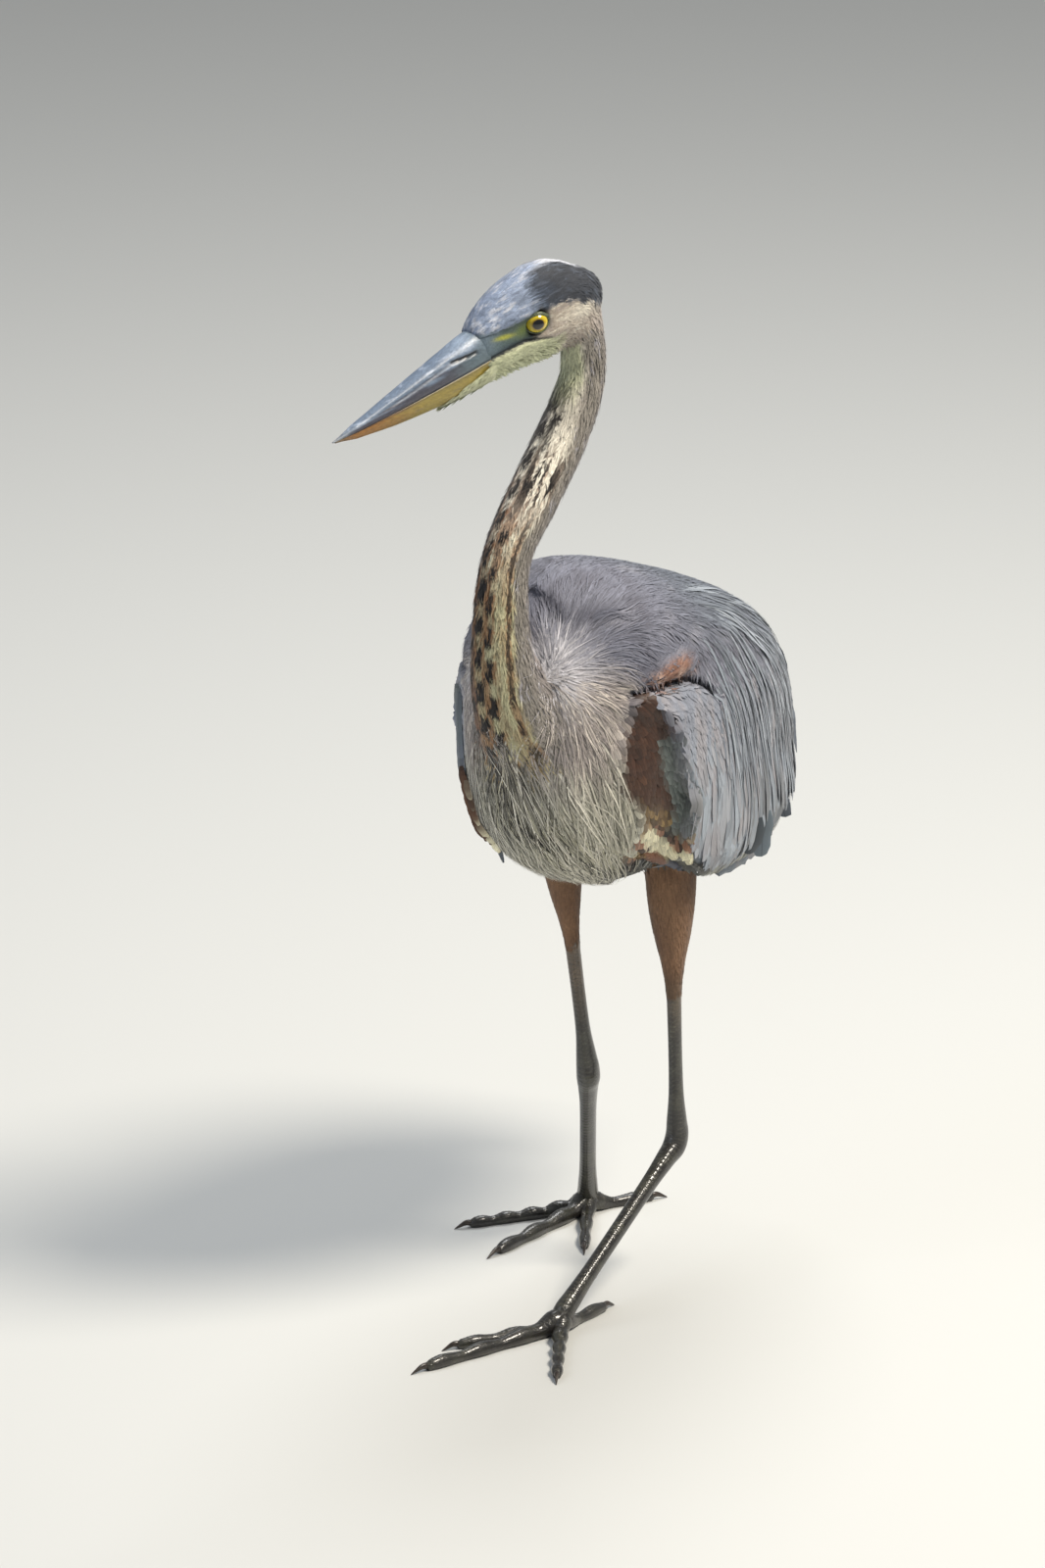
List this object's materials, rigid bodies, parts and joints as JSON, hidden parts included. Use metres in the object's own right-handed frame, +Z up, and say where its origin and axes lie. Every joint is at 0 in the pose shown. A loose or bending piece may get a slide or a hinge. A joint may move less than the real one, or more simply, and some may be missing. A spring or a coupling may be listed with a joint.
{
  "type": "heron",
  "caption": "Life-size great blue heron in a slow walking step, its neck drawn into an S and its dagger bill pointing forward and down.",
  "frame": {"origin": "centre of the bounding box's foot, on the floor between the feet", "axes": "+Z is up, -Y is the way the bird walks, +X is the bird's left"},
  "size_m": [0.241, 0.539, 0.7871],
  "materials": {
    "head_feathers": "soft matte feathers, slate and white",
    "neck_feathers": "soft matte feathers, mauve grey with a white and black streaked front",
    "body_feathers": "soft matte feathers, blue grey",
    "flight_feathers": "smooth satin vanes, slate",
    "thigh_feathers": "soft matte feathers, cinnamon",
    "bill_horn": "satin horn, blue grey above and orange yellow below",
    "eye": "wet gloss, yellow iris and black pupil",
    "leg_scales": "wet satin scales, dark olive",
    "claw_horn": "satin horn, near black"
  },
  "bodies": {
    "root": {"bill_lower": "bill_horn", "bill_upper": "bill_horn", "claw_hind_left": "claw_horn", "claw_hind_right": "claw_horn", "claw_inner_left": "claw_horn", "claw_inner_right": "claw_horn", "claw_middle_left": "claw_horn", "claw_middle_right": "claw_horn", "claw_outer_left": "claw_horn", "claw_outer_right": "claw_horn", "eye_left": "eye", "eye_right": "eye", "head": "head_feathers", "neck_lower": "neck_feathers", "neck_middle": "neck_feathers", "neck_upper": "neck_feathers", "primaries_left": "flight_feathers", "primaries_right": "flight_feathers", "scapulars_left": "body_feathers", "scapulars_right": "body_feathers", "secondaries_left": "flight_feathers", "secondaries_right": "flight_feathers", "shin_left": "leg_scales", "shin_right": "leg_scales", "tail": "flight_feathers", "tarsus_left": "leg_scales", "tarsus_right": "leg_scales", "thigh_left": "thigh_feathers", "thigh_right": "thigh_feathers", "toe_hind_left": "leg_scales", "toe_hind_right": "leg_scales", "toe_inner_left": "leg_scales", "toe_inner_right": "leg_scales", "toe_middle_left": "leg_scales", "toe_middle_right": "leg_scales", "toe_outer_left": "leg_scales", "toe_outer_right": "leg_scales", "trunk": "body_feathers", "wing_arm_left": "body_feathers", "wing_arm_right": "body_feathers"}
  },
  "joints": []
}
